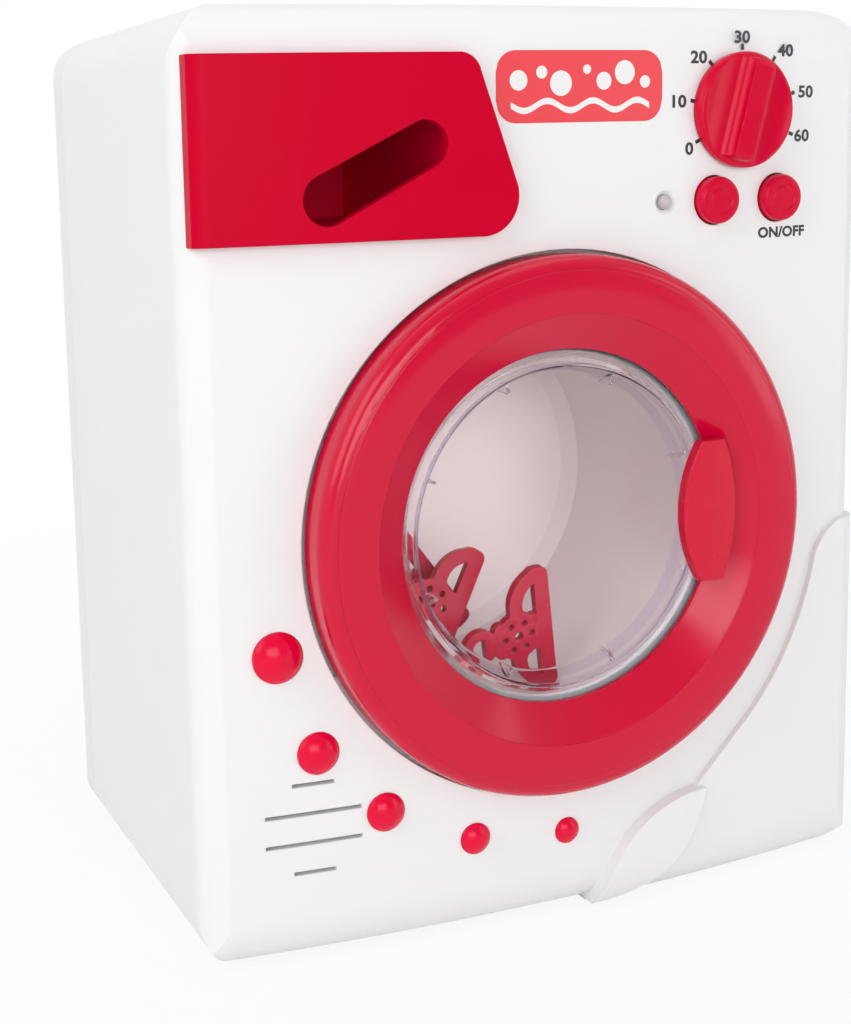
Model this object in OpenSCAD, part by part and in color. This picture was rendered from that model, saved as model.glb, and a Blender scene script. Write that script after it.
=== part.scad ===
// Toy washing machine, front loader, about 19 cm tall.
// Every module draws one physical piece. The design frame has x = 0 on the middle of the
// front, y = 0 on the foremost line of the bowed front, y growing towards the back, and
// z = 0 on the table. place() moves a finished piece so that the part stands centred.

/* [Housing] */
// Width of the housing
body_w = 153; // [146:1:160]
// Height of the housing
body_h = 185; // [176:1:195]
// Depth of the housing, from the foremost line of the front to the back
body_d = 101; // [96:1:115]
// How far the front bows out between its left and right edge
front_bow = 5; // [2:0.5:8]
// Rounding of the upright edges
upright_r = 7; // [4:0.5:9]
// Rounding of the front edges at the top and the bottom
level_r = 11; // [6:0.5:12]
// Wall thickness of the mouldings
wall = 2.2; // [1.6:0.1:3]
// Depth at which the housing ends and the rear cover begins
seam_y = 88; // [86:1:90]

/* [Door] */
// Place of the door's middle, across
door_x = -0.6; // [-3:0.1:3]
// Place of the door's middle, above the table
door_z = 82.8; // [81:0.1:86]
// Outer radius of the door ring
door_r = 54.3; // [52:0.1:56]
// Radius of the crease between the ring's face and its inner cone
crease_r = 43; // [41:0.5:45]
// Radius of the opening in the ring
lip_r = 35.7; // [35.2:0.1:37]

/* [Drum] */
// Outer radius of the drum
drum_r = 41.5; // [39:0.5:42]
// Length of the drum
drum_len = 54.5; // [48:0.5:55]

/* [Controls] */
// Place of the timer knob, across
knob_x = 41.5; // [40:0.1:44]
// Place of the timer knob, above the table
knob_z = 163.9; // [161:0.1:166]
// Radius of the timer knob
knob_r = 11.5; // [10:0.1:12]
// Angle of the knob's grip bar from the level, as it stands
knob_turn = 75; // [40:1:110]
// Height of the push buttons above the table
button_z = 146.1; // [145:0.1:147]
// Radius of the push buttons
button_r = 4.7; // [4:0.1:5]
// How far a push button travels
button_travel = 1.2; // [0.8:0.1:1.5]

/* [Drawer] */
// Lower edge of the drawer's face
drawer_z0 = 141.2; // [140.5:0.1:142]
// Upper edge of the drawer's face
drawer_z1 = 175.3; // [174:0.1:176]
// Thickness of the drawer's face
drawer_t = 2.4; // [2:0.1:3]
// Length of the detergent tray behind the face
tray_len = 50; // [40:1:52]

/* [Hidden] */

$fn = 96;
fine = 360;

// The raised wave panel wraps round the right side by this much
wave_t = 1.3;
bow_r = (pow(body_w / 2, 2) + pow(front_bow, 2)) / (2 * front_bow);

red = [0.80, 0.02, 0.16];
white = [0.93, 0.93, 0.94];
steel = [0.72, 0.73, 0.75];

// Heights of the door ring in front of y = 0: its flat rim, its crease and the crown between
face_h = 5.6;
crease_h = 5.8;
ring_crown = 0.55;
// The crown is the foremost line of the part
front_reach = (face_h + crease_h) / 2 + ring_crown;

// Depth of the bowed front at a place across
function front_at(x) = front_bow * pow(x / (body_w / 2), 2);

module place() {
    translate([-wave_t / 2, (front_reach - body_d) / 2, 0]) children();
}

// Turns a flat outline in x and z into a prism from y0 to y1
module prism(y0, y1) {
    translate([0, y1, 0]) rotate([90, 0, 0]) linear_extrude(height = y1 - y0) children();
}

// A round bar along the depth
module bar(x, z, r, y0, y1) {
    translate([x, y1, z]) rotate([90, 0, 0]) cylinder(r = r, h = y1 - y0);
}

// A revolved form about the door's and the drum's axis: radius first, then height
// towards the viewer
module revolved(x, z) {
    translate([x, 0, z]) rotate([90, 0, 0]) rotate_extrude($fn = 180) children();
}

// Rectangle from a corner to the opposite one with one radius at each corner
module rounded(x0, z0, x1, z1, r) {
    translate([x0 + r, z0]) square([x1 - x0 - 2 * r, z1 - z0]);
    translate([x0, z0 + r]) square([x1 - x0, z1 - z0 - 2 * r]);
    for (x = [x0 + r, x1 - r], z = [z0 + r, z1 - r]) translate([x, z]) circle(r = r);
}

// Plan of the housing drawn in by i: straight sides and rounded corners. The front corners
// stand 0.12 proud of the bow, which cuts them off in body_form()
module plan_outline(i) {
    half = body_w / 2 - i;
    r = max(upright_r - i, 1);
    back = body_d - i;
    cx = half - r;
    cy = bow_r - sqrt(pow(bow_r - i - r, 2) - pow(cx, 2)) - 0.12;
    translate([-cx, -20]) square([2 * cx, back + 20]);
    translate([-half, cy]) square([2 * half, back - r - cy]);
    for (s = [-1, 1], y = [cy, back - r]) translate([s * cx, y]) circle(r = r);
}

// The housing's outer form drawn in by i. The bow is a turned disc with a rounded rim; the
// plan, the front outline and the side outline cut it to size, so every edge is round
module body_form(i) {
    r_edge = max(level_r - i, 1);
    r_back = max(upright_r - i, 1);
    bow = bow_r - i;
    intersection() {
        translate([0, bow_r, 0]) rotate_extrude($fn = 2 * fine) {
            translate([0, i]) square([bow - r_edge, body_h - 2 * i]);
            translate([0, i + r_edge]) square([bow, body_h - 2 * (i + r_edge)]);
            for (z = [i + r_edge, body_h - i - r_edge])
                translate([bow - r_edge, z]) circle(r = r_edge);
        }
        translate([0, 0, i - 1]) linear_extrude(height = body_h - 2 * i + 2) plan_outline(i);
        prism(-10, body_d + 10)
            rounded(-body_w / 2 + i, i, body_w / 2 - i, body_h - i, r_edge);
        translate([-body_w, 0, 0]) rotate([90, 0, 90]) linear_extrude(height = 2 * body_w)
            rounded(-20, i, body_d - i, body_h - i, r_back);
    }
}

// Door geometry shared by the ring, the window, the handle and the housing
ring_back = -2.9;
seat_h = -0.2;
recess_y = 4;
recess_r = door_r + 0.8;
port_r = 44;
// Pocket in the recess floor for the swing of the ring's edge: depth and half height
swing_y = 5.2;
swing_half = 25;
hinge_x = door_x - door_r + 4;
hinge_y = -1.9;
hinge_pin_r = 0.8;
hinge_lug_r = 1.5;
fillet_r = 3;
lip_h = 0.8;
catch_x = 48.2;
ear_in = 5.2;
ear_out = 7.8;
screw_ring = 46.8;

// Outline of the raised wave at the lower right: outside a circle about the door, which
// runs over into a small circle round the crest at the side
wave_r = 65.5;
crest = [75, 64.4];
wave_leave = -47;
module wave_outline() {
    leave = [door_x, door_z] + (wave_r - 0.08) * [cos(wave_leave), sin(wave_leave)];
    slope = [sin(wave_leave), -cos(wave_leave)];
    foot = leave + slope * 60;
    reach = norm(crest - [door_x, door_z]);
    turn_z = door_z + wave_r * (crest[1] - door_z) / reach;
    difference() {
        union() {
            translate([0, -5]) square([100, 5 + turn_z]);
            translate(crest) circle(r = reach - wave_r + 0.15);
        }
        translate([door_x, door_z]) circle(r = wave_r, $fn = fine);
        polygon([leave, foot, [-5, foot[1]], [-5, leave[1] + 20], [door_x, door_z]]);
    }
}

// The leaf-shaped foot at the lower end of the wave
module foot_leaf() {
    half_leaf = 17;
    leaf_r = 26;
    translate([20, 12]) rotate(40) intersection() {
        translate([0, leaf_r - 6.5]) circle(r = leaf_r);
        translate([0, -leaf_r + 6.5]) circle(r = leaf_r);
        translate([-half_leaf, -7]) square([2 * half_leaf, 14]);
    }
}

// Soft step line left of the door: an S made of two arcs and a straight run
module s_line() {
    band = 1.6;
    module arc(c, r, a0, a1) {
        mid = (a0 + a1) / 2;
        translate(c) intersection() {
            difference() {
                circle(r = r + band / 2, $fn = 180);
                circle(r = r - band / 2, $fn = 180);
            }
            polygon([[0, 0], 2 * r * [cos(a0), sin(a0)], 3 * r * [cos(mid), sin(mid)],
                2 * r * [cos(a1), sin(a1)]]);
        }
    }
    high = [-38.2, 114.8];
    high_r = 7.5;
    low = [-71, 90.3];
    low_r = 15;
    arc(high, high_r, 88, 160);
    arc(low, low_r, -98, -20);
    start = low + low_r * [cos(-20), sin(-20)];
    run = high + high_r * [cos(160), sin(160)] - start;
    translate(start) rotate(atan2(run[1], run[0])) translate([-0.3, -band / 2])
        square([norm(run) + 0.6, band]);
}

// Fronts of the controls
button_x = [35.4, 51.7];
led_x = 23.4;
led_z = 146.1;
led_r = 1.5;
knob_bore = 3.1;
knob_base = front_at(knob_x - knob_r) - 0.25;
button_gap = 0.3;

// Five bubble caps: across, up, radius
bubbles = [[-60.9, 63.5, 5.0], [-53.4, 43.7, 4.2], [-39.9, 29.8, 3.9],
    [-20.8, 21.1, 3.2], [0.1, 19.1, 2.7]];
bubble_peg = 1.2;
bubble_seat = 0.6;

// Speaker slits: up, length
slit_x = -54.6;
slits = [[37.7, 8.5], [31.8, 19.5], [25.8, 19.5], [19.9, 8.5]];
slit_h = 0.8;
speaker_z = 28.8;
speaker_r = 14;

// Drawer and its tray
tray_x0 = -70;
tray_x1 = -24;
tray_z0 = 142.7;
tray_z1 = 168;
tray_wall = 1.5;
module drawer_outline() {
    slant = [[-20.4, drawer_z1], [-8.4, drawer_z0]];
    top_r = 4.5;
    low_r = 7.5;
    run = slant[1] - slant[0];
    u = run / norm(run);
    a = atan2(-run[1], run[0]);
    top_cut = top_r * tan(a / 2);
    low_cut = low_r * tan((180 - a) / 2);
    top_mid = slant[0] - [top_cut, top_r];
    low_mid = slant[1] + [-low_cut, low_r];
    polygon([[-80, drawer_z0], low_mid - [0, low_r], low_mid, slant[1] - u * low_cut,
        slant[0] + u * top_cut, top_mid, top_mid + [0, top_r], [-80, drawer_z1]]);
    translate(top_mid) circle(r = top_r + 0.02);
    translate(low_mid) circle(r = low_r + 0.02);
}
slot_a = [-49.8, 149];
slot_b = [-30.6, 158.6];
slot_ra = 4.8;
slot_rb = 4.5;
module finger_slot() {
    run = slot_b - slot_a;
    a = atan2(run[1], run[0]);
    lean = acos((slot_ra - slot_rb) / norm(run));
    up = [cos(a + lean), sin(a + lean)];
    down = [cos(a - lean), sin(a - lean)];
    translate(slot_a) circle(r = slot_ra + 0.02);
    translate(slot_b) circle(r = slot_rb + 0.02);
    polygon([slot_a + slot_ra * down, slot_b + slot_rb * down, slot_b + slot_rb * up,
        slot_a + slot_ra * up]);
}

// Gear train behind the drum: module, teeth, direction from the drum's axis to the motor
gear_m = 0.8;
drum_teeth = 60;
idler_small = 12;
idler_large = 50;
pinion_teeth = 10;
train_angle = -40;
reach_drum = gear_m * (drum_teeth + idler_small) / 2;
reach_motor = gear_m * (idler_large + pinion_teeth) / 2;
train = [cos(train_angle), sin(train_angle)];
idler_at = [door_x, door_z] + reach_drum * train;
motor_at = [door_x, door_z] + (reach_drum + reach_motor) * train;
gear_low = 72;
gear_high = 76.5;
gear_w = 3.6;
drum_y = 9.5;
drum_back = drum_y + drum_len;
shaft_r = 2.5;
axle_r = 1;
posts = [[-24, 52], [-24, 110], [46, 106], [51, 42]];

// Board and screws
board_y = 16;
board_posts = [[18.5, 172], [62, 136.5], [18.5, 136.5]];
corner_posts = [[-66, 13], [66, 13], [-66, 172], [66, 172]];

// Battery bay
bay = [-31, 9.5, 31, 38.3];
bay_y = 84.2;
cell_r = 7.1;
cell_len = 49;
cell_z = [16.65, 30.95];
cell_y = 91.35;

// The housing's own knuckle: a barrel on a goose-necked arm, so that the ring's edge can
// swing in behind the barrel
neck = [5.9, 7.4];
module shell_knuckle() {
    half = ear_in - 0.3;
    difference() {
        translate([hinge_x, hinge_y, door_z - half]) {
            cylinder(r = hinge_lug_r, h = 2 * half, $fn = 48);
            translate([0, -0.9, 0]) cube([neck[1], 1.5, 2 * half]);
            translate([neck[0], -0.9, 0])
                cube([neck[1] - neck[0], swing_y + 2 - hinge_y, 2 * half]);
        }
        translate([hinge_x, hinge_y, door_z - 12])
            cylinder(r = hinge_pin_r + 0.06, h = 24, $fn = 48);
    }
}

module front_shell() color(white) place() {
    shell_knuckle();
    difference() {
        union() {
            difference() {
                body_form(0);
                body_form(wall);
                translate([-body_w, seam_y, -1]) cube([2 * body_w, body_d, body_h + 2]);
            }
            // wave panel, foot and S line stand proud of the wall
            intersection() {
                difference() {
                    body_form(-wave_t);
                    body_form(wall / 2);
                }
                prism(-10, 70) wave_outline();
                translate([0, 2, 0]) rotate([0, 90, 0]) cylinder(r = 76.2, h = 100, $fn = 180);
                translate([0, -10, 0.6]) cube([100, 80, 100]);
            }
            intersection() {
                difference() {
                    body_form(-2.8);
                    body_form(wall / 2);
                }
                prism(-10, 10) foot_leaf();
                translate([0, -10, 0.6]) cube([100, 30, 100]);
            }
            intersection() {
                difference() {
                    body_form(-0.6);
                    body_form(wall / 2);
                }
                prism(-10, 10) s_line();
            }
            // floor of the door recess, collar of the port, rim that holds the speaker
            intersection() {
                body_form(0);
                union() {
                    bar(door_x, door_z, recess_r + 2, -5, recess_y + 2.2);
                    translate([hinge_x - 8, 0, door_z - swing_half - 2])
                        cube([22, swing_y + 2, 2 * swing_half + 4]);
                    bar(door_x, door_z, port_r + 1.6, 0, drum_y - 0.8);
                    bar(slit_x, speaker_z, speaker_r + 1.6, front_at(slit_x) + wall / 2, 9);
                }
            }
            // bosses for the rear screws, on webs to the side walls
            for (p = corner_posts) {
                bar(p[0], p[1], 3.2, seam_y - 26, seam_y);
                translate([p[0] > 0 ? p[0] : -body_w / 2 + wall / 2, seam_y - 26, p[1] - 1])
                    cube([body_w / 2 - wall / 2 - abs(p[0]), 26, 2]);
            }
            // posts of the circuit board
            for (p = board_posts) bar(p[0], p[1], 2.4, front_at(p[0]) + wall / 2, board_y);
            // guide sleeve of the knob
            bar(knob_x, knob_z, knob_bore + 2, front_at(knob_x) + wall / 2, 7.5);
        }
        // recess and port of the door
        bar(door_x, door_z, recess_r, -6, recess_y);
        bar(door_x, door_z, port_r, -6, 20);
        intersection() {
            bar(door_x, door_z, recess_r, -6, swing_y);
            translate([hinge_x - 8, 0, door_z - swing_half]) cube([18, 20, 2 * swing_half]);
        }
        // slot of the door catch
        translate([catch_x + door_x - 1.9, recess_y - 1, door_z - 4.8]) cube([4.4, 4, 9.6]);
        // inside of the speaker rim
        bar(slit_x, speaker_z, speaker_r + 0.1, 5.6, 12);
        // openings of the controls
        bar(knob_x, knob_z, knob_bore, -3, 12);
        for (x = button_x) bar(x, button_z, button_r + button_gap, -3, 12);
        bar(led_x, led_z, led_r, -3, 12);
        translate([led_x, front_at(led_x) + 0.9, led_z]) rotate([90, 0, 0])
            cylinder(r1 = led_r, r2 = 3.2, h = 1.7);
        // seats of the bubble caps
        for (b = bubbles) {
            bar(b[0], b[1], bubble_peg, -3, 12);
            bar(b[0], b[1], b[2] + 0.05, -3, front_at(b[0]) + bubble_seat);
        }
        // speaker slits
        for (s = slits) translate([slit_x - s[1] / 2, -3, s[0] - slit_h / 2])
            cube([s[1], 20, slit_h]);
        // way in for the drawer
        translate([tray_x0 - 0.5, -3, tray_z0 - 0.5])
            cube([tray_x1 - tray_x0 + 1, 15, tray_z1 - tray_z0 + 1]);
        // screw holes
        for (p = corner_posts) bar(p[0], p[1], 1.1, seam_y - 18, seam_y + 1);
        for (p = board_posts) bar(p[0], p[1], 0.9, board_y - 8, board_y + 1);
    }
}

// Closes the back, holds the gearbox and the battery bay
module rear_cover() color(white) place() difference() {
    union() {
        difference() {
            body_form(0);
            body_form(wall);
            translate([-body_w, -20, -1]) cube([2 * body_w, seam_y + 20.1, body_h + 2]);
        }
        // lip that centres the cover in the housing
        intersection() {
            difference() {
                body_form(wall + 0.2);
                body_form(wall + 1.6);
            }
            translate([-body_w, seam_y - 2.5, 0]) cube([2 * body_w, 5, body_h]);
            union() {
                translate([-54, 0, -1]) cube([108, body_d, body_h + 2]);
                translate([-body_w, 0, 24]) cube([2 * body_w, body_d, 136]);
            }
        }
        intersection() {
            difference() {
                body_form(wall);
                body_form(wall + 1.6);
            }
            translate([-body_w, seam_y + 0.1, 0]) cube([2 * body_w, 4, body_h]);
        }
        // bosses behind the housing's corner bosses
        for (p = corner_posts) bar(p[0], p[1], 3.2, seam_y + 0.1, body_d - wall / 2);
        // bosses that carry the gearbox
        for (p = posts) bar(p[0], p[1], 3, 84, body_d - wall / 2);
        // walls of the battery bay, with a thicker frame round its mouth
        translate([bay[0] - 1.6, bay_y - 1.6, bay[1] - 1.6])
            cube([bay[2] - bay[0] + 3.2, body_d - wall / 2 - bay_y + 1.6, bay[3] - bay[1] + 3.2]);
        prism(body_d - 5, body_d - wall / 2)
            rounded(bay[0] - 4.6, bay[1] - 4.6, bay[2] + 4.6, bay[3] + 7.6, 2);
        bar(0, bay[3] + 3.6, 2.6, body_d - 9, body_d - 3);
    }
    translate([bay[0], bay_y, bay[1]])
        cube([bay[2] - bay[0], body_d, bay[3] - bay[1]]);
    // ledge in which the battery cover lies
    prism(body_d - 2.4, body_d + 1)
        rounded(bay[0] - 3, bay[1] - 3, bay[2] + 3, bay[3] + 6, 2);
    for (p = corner_posts) {
        bar(p[0], p[1], 1.3, seam_y - 1, body_d + 1);
        bar(p[0], p[1], 2.4, body_d - 4, body_d + 1);
    }
    for (p = posts) bar(p[0], p[1], 1.1, 83, 94);
    bar(0, bay[3] + 3.6, 1.1, body_d - 8, body_d);
}

// Pan-head screw: shank towards the front, head at y1
module screw(x, z, y0, y1, shank, head) {
    difference() {
        union() {
            bar(x, z, shank, y0, y1 + 0.1);
            bar(x, z, head, y1, y1 + 1.2);
        }
        for (a = [0, 90]) translate([x, y1 + 1.2, z]) rotate([0, a, 0])
            cube([head * 1.3, 1.2, 0.5], center = true);
    }
}

module rear_screws() color(steel) place()
    for (p = corner_posts) screw(p[0], p[1], seam_y - 12, body_d - 4, 1.1, 2.2);

// Pressed-in domes that stand for soap bubbles, each let into the wall by its seat
module bubble_caps() color(red) place() for (b = bubbles) {
    y = front_at(b[0]);
    crown = b[2] * 0.42;
    ball = (pow(b[2], 2) + pow(crown, 2)) / (2 * crown);
    intersection() {
        translate([b[0], y - crown + ball - 0.25, b[1]]) sphere(r = ball, $fn = 120);
        bar(b[0], b[1], b[2], y - crown - 1, y + bubble_seat);
    }
    bar(b[0], b[1], bubble_peg, y + bubble_seat - 0.1, y + wall + 0.8);
}

// Light pipe from the board to the front, with a collar behind the wall
module led_lens() color([0.9, 0.9, 0.88]) place() revolved(led_x, led_z) {
    y = front_at(led_x);
    r = led_r - 0.04;
    translate([0, -board_y]) square([r, board_y - y - 0.4]);
    translate([0, -y - wall - 1.3]) square([r + 0.7, 1.15]);
    intersection() {
        translate([0, -y - 0.4]) circle(r = r);
        translate([0, -y - 0.8]) square([2 * r, 2 * r]);
    }
}

// Outer face of the ring as a profile, radius and height; also cuts the handle's foot
module ring_profile() {
    bulge_r = 26;
    mid = [(crease_r + door_r - fillet_r) / 2, (face_h + crease_h) / 2];
    polygon([[lip_r, seat_h], [lip_r, lip_h], [crease_r, crease_h], [door_r - fillet_r, face_h],
        [door_r - fillet_r, fillet_r], [door_r, face_h - fillet_r], [door_r, ring_back],
        [door_r - 2, ring_back], [door_r - 2, seat_h]]);
    translate([door_r - fillet_r, face_h - fillet_r]) circle(r = fillet_r, $fn = 64);
    intersection() {
        translate([crease_r, crease_h - 2]) square([door_r - fillet_r - crease_r, 4]);
        translate([mid[0], mid[1] + ring_crown - bulge_r]) circle(r = bulge_r, $fn = fine);
    }
}

module hinge_ear(z0, z1) {
    translate([hinge_x, hinge_y, z0]) cylinder(r = hinge_lug_r, h = z1 - z0, $fn = 48);
    translate([hinge_x - hinge_lug_r, -4.5, z0]) cube([2 * hinge_lug_r, 4.5 + hinge_y, z1 - z0]);
}

// Red ring: convex face, inner cone, hollow behind with ears, bosses and the catch
module door_ring() color(red) place() difference() {
    union() {
        revolved(door_x, door_z) difference() {
            ring_profile();
            polygon([[door_r - 2, ring_back - 1], [door_r - 2, face_h - 2.5],
                [door_r - 3.8, face_h - 1.9], [crease_r + 1, crease_h - 1.9],
                [lip_r + 1.6, seat_h], [lip_r + 1.6, ring_back - 1]]);
        }
        intersection() {
            union() {
                hinge_ear(door_z - ear_out, door_z - ear_in);
                hinge_ear(door_z + ear_in, door_z + ear_out);
                for (a = [45:90:315])
                    bar(door_x + screw_ring * cos(a), door_z + screw_ring * sin(a), 2.4, -4.6, 1.8);
                translate([door_x + catch_x - 0.9, -4.6, door_z - 4]) cube([1.8, 12.8, 8]);
                translate([door_x + catch_x - 0.9, 7.2, door_z - 4])
                    linear_extrude(height = 8) polygon([[0, 0], [2.2, 0], [1.8, 1], [0, 1.6]]);
            }
            revolved(door_x, door_z) translate([0, -20]) square([door_r - 1, 20 + face_h - 0.6]);
        }
    }
    translate([hinge_x, hinge_y, door_z - 12]) cylinder(r = hinge_pin_r, h = 24, $fn = 48);
    for (a = [45:90:315])
        bar(door_x + screw_ring * cos(a), door_z + screw_ring * sin(a), 0.8, -2, 3);
}

rim_r = 32.5;
dish_r = 30.5;
dish_h = -5;
flange_r = 41;
pane_t = 1.6;

// Clear pane: flat flange, dished middle, short ribs in the dish's wall
module door_window() color([0.9, 0.92, 0.95, 0.35]) place() {
    revolved(door_x, door_z) {
        polygon([[rim_r, seat_h], [flange_r, seat_h], [flange_r, seat_h - pane_t],
            [rim_r + 1.4, seat_h - pane_t], [dish_r + 1.5, dish_h - pane_t], [0, dish_h - pane_t],
            [0, dish_h], [dish_r, dish_h]]);
        translate([rim_r, seat_h]) circle(r = 0.45, $fn = 32);
    }
    for (a = [22.5:45:337.5]) translate([door_x, 0, door_z]) rotate([0, -a, 0])
        translate([dish_r - 0.6, -dish_h - 4.2, -0.35]) cube([2, 4.3, 0.7]);
}

// Ring that clamps the pane from behind
module window_retainer() color(white) place() difference() {
    revolved(door_x, door_z)
        translate([rim_r + 2.6, seat_h - pane_t - 1.5]) square([50.2 - rim_r - 2.6, 1.5]);
    translate([hinge_x - 10, -3, door_z - 10]) cube([10 + neck[1] + 0.8, 10, 20]);
    translate([door_x + 45.9, -3, door_z - 5.5]) cube([10, 10, 11]);
    for (a = [45:90:315])
        bar(door_x + screw_ring * cos(a), door_z + screw_ring * sin(a), 0.9, 0, 6);
}

module window_screws() color(steel) place() for (a = [45:90:315]) {
    x = door_x + screw_ring * cos(a);
    z = door_z + screw_ring * sin(a);
    bar(x, z, 0.78, -1.8, 3.35);
    bar(x, z, 1.7, 3.31, 3.85);
}

handle_x = 31.4;
handle_z = 0.9;
handle_w = 12.6;
handle_h = 29;
handle_cut = 5.4;
handle_front = 5.4;
handle_back = 2.9;

// Lens-shaped grip that stands on the pane's flange beside the opening
module door_handle() color(red) place() difference() {
    union() {
        intersection() {
            prism(-handle_front, -handle_back) grip_outline(0);
            // the face is slightly crowned from left to right
            translate([handle_x + door_x, 52 - handle_front, 0])
                cylinder(r = 52, h = 200, $fn = fine);
        }
        prism(-handle_back - 0.4, -seat_h) intersection() {
            grip_outline(2.4);
            translate([door_x + handle_x - 5, door_z + handle_z - 9]) square([10, 18]);
        }
    }
    revolved(door_x, door_z) ring_profile();
    revolved(door_x, door_z) {
        translate([lip_r - 0.05, -2]) square([6, 3]);
        translate([rim_r, seat_h]) circle(r = 0.5, $fn = 32);
    }
}

// Two arcs that cross, cut flat above and below, drawn in by i
module grip_outline(i) {
    left_bulge = 4.2;
    right_bulge = handle_w - left_bulge - handle_cut;
    half = handle_h / 2;
    function arc_r(b) = (half * half + b * b) / (2 * b);
    translate([door_x + handle_x - handle_w / 2, door_z + handle_z]) intersection() {
        translate([arc_r(left_bulge), 0]) circle(r = arc_r(left_bulge) - i, $fn = fine);
        translate([handle_w - arc_r(right_bulge), 0]) circle(r = arc_r(right_bulge) - i, $fn = fine);
        translate([0, -half + i]) square([handle_w, handle_h - 2 * i]);
    }
}

module door_hinge_pin() color(steel) place()
    translate([hinge_x, hinge_y, door_z - ear_out]) cylinder(r = hinge_pin_r, h = 2 * ear_out, $fn = 48);

// Cup with a rolled front rim, three low ribs and a hub for its shaft
module drum() color([0.9, 0.87, 0.88]) place() difference() {
    union() {
        revolved(door_x, door_z) {
            difference() {
                polygon([[0, -drum_back], [drum_r - 4, -drum_back], [drum_r, -drum_back + 4],
                    [drum_r, -drum_y - 0.8], [drum_r - 0.8, -drum_y], [0, -drum_y]]);
                polygon([[0, -drum_back + 1.8], [drum_r - 4.6, -drum_back + 1.8],
                    [drum_r - 1.6, -drum_back + 4.8], [drum_r - 1.6, -drum_y - 1.8],
                    [drum_r - 2.6, -drum_y - 0.9], [drum_r - 2.6, 0], [0, 0]]);
            }
            translate([0, -drum_back - 2.5]) square([6, 3]);
        }
    }
    bar(door_x, door_z, shaft_r, drum_back - 1, drum_back + 5);
}

module drum_shaft() color(steel) place() {
    bar(door_x, door_z, shaft_r, drum_back - 1, 83.6);
}

// Spur gear with involute flanks: pitch circle m * n / 2, cut thin for play
pressure = 20;
gear_play = 0.12;
function involute(rb, t) = rb * [cos(t) + t * PI / 180 * sin(t), sin(t) - t * PI / 180 * cos(t)];
function unwind(rb, r) = sqrt(pow(r / rb, 2) - 1) * 180 / PI;
function spin(p, a) = [p[0] * cos(a) - p[1] * sin(a), p[0] * sin(a) + p[1] * cos(a)];
module gear_outline(n, turn) {
    rp = gear_m * n / 2;
    rb = rp * cos(pressure);
    ra = rp + gear_m * 0.95;
    rf = rp - gear_m * 1.25;
    t0 = unwind(rb, max(rb, rf) + 0.001);
    t1 = unwind(rb, ra);
    steps = 4;
    inv_a = tan(pressure) * 180 / PI - pressure;
    half = 90 / n - gear_play / rp * 90 / PI + inv_a;
    flank = [for (i = [0:steps]) involute(rb, t0 + (t1 - t0) * i / steps)];
    tooth = concat([[rf * 0.96 * cos(half), -rf * 0.96 * sin(half)]],
        [for (p = flank) spin(p, -half)],
        [for (i = [steps:-1:0]) spin([flank[i][0], -flank[i][1]], half)],
        [[rf * 0.96 * cos(half), rf * 0.96 * sin(half)]]);
    rotate(turn) {
        circle(r = rf, $fn = 120);
        for (k = [0:n - 1]) rotate(360 * k / n) polygon(tooth);
    }
}
module gear(at, n, turn, y, w) {
    translate([at[0], y + w, at[1]]) rotate([90, 0, 0]) linear_extrude(height = w)
        gear_outline(n, turn);
}

// A tooth of each wheel meets a gap of the next on the line between their axes
drum_turn = train_angle;
small_turn = 180 + train_angle + 180 / idler_small;
large_turn = train_angle;
pinion_turn = 180 + train_angle + 180 / pinion_teeth;

module drum_gear() color([0.92, 0.92, 0.86]) place() difference() {
    union() {
        difference() {
            gear([door_x, door_z], drum_teeth, drum_turn, gear_high, gear_w);
            for (a = [0:60:300]) bar(door_x + 13.5 * cos(a), door_z + 13.5 * sin(a), 4.6,
                gear_high - 1, gear_high + gear_w + 1);
        }
        bar(door_x, door_z, 5, gear_high - 0.6, gear_high + gear_w + 0.6);
    }
    bar(door_x, door_z, shaft_r, 60, 90);
}

// Large and small wheel moulded in one piece
module idler_gear() color([0.92, 0.92, 0.86]) place() difference() {
    union() {
        difference() {
            gear(idler_at, idler_large, large_turn, gear_low, gear_w);
            for (a = [0:60:300]) bar(idler_at[0] + 12 * cos(a), idler_at[1] + 12 * sin(a), 3.8,
                gear_low - 1, gear_low + gear_w + 1);
        }
        gear(idler_at, idler_small, small_turn, gear_low + gear_w - 0.4, gear_w + 1.2);
    }
    bar(idler_at[0], idler_at[1], axle_r + 0.05, 60, 90);
}

module idler_axle() color(steel) place()
    bar(idler_at[0], idler_at[1], axle_r, 69.5, 83.8);

module motor_pinion() color([0.92, 0.92, 0.86]) place() difference() {
    gear(motor_at, pinion_teeth, pinion_turn, gear_low - 0.3, gear_w + 0.3);
    bar(motor_at[0], motor_at[1], axle_r, 60, 90);
}

module motor_shaft() color(steel) place()
    bar(motor_at[0], motor_at[1], axle_r, 46, gear_low + gear_w);

// Small can motor with two flats, its nose in the gearbox
module motor() color(steel) place() difference() {
    union() {
        prism(44, 69) intersection() {
            translate(motor_at) circle(r = 10);
            translate(motor_at) rotate(train_angle)
                translate([-7.6, -12]) square([15.2, 24]);
        }
        bar(motor_at[0], motor_at[1], 3, 68.8, 70.5);
    }
    bar(motor_at[0], motor_at[1], axle_r + 0.06, 45, 75);
}

module gearbox_outline() {
    rounded(-29, 46, 56, 115, 5);
    rounded(36.5, 37, 56, 60, 5);
}

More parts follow.
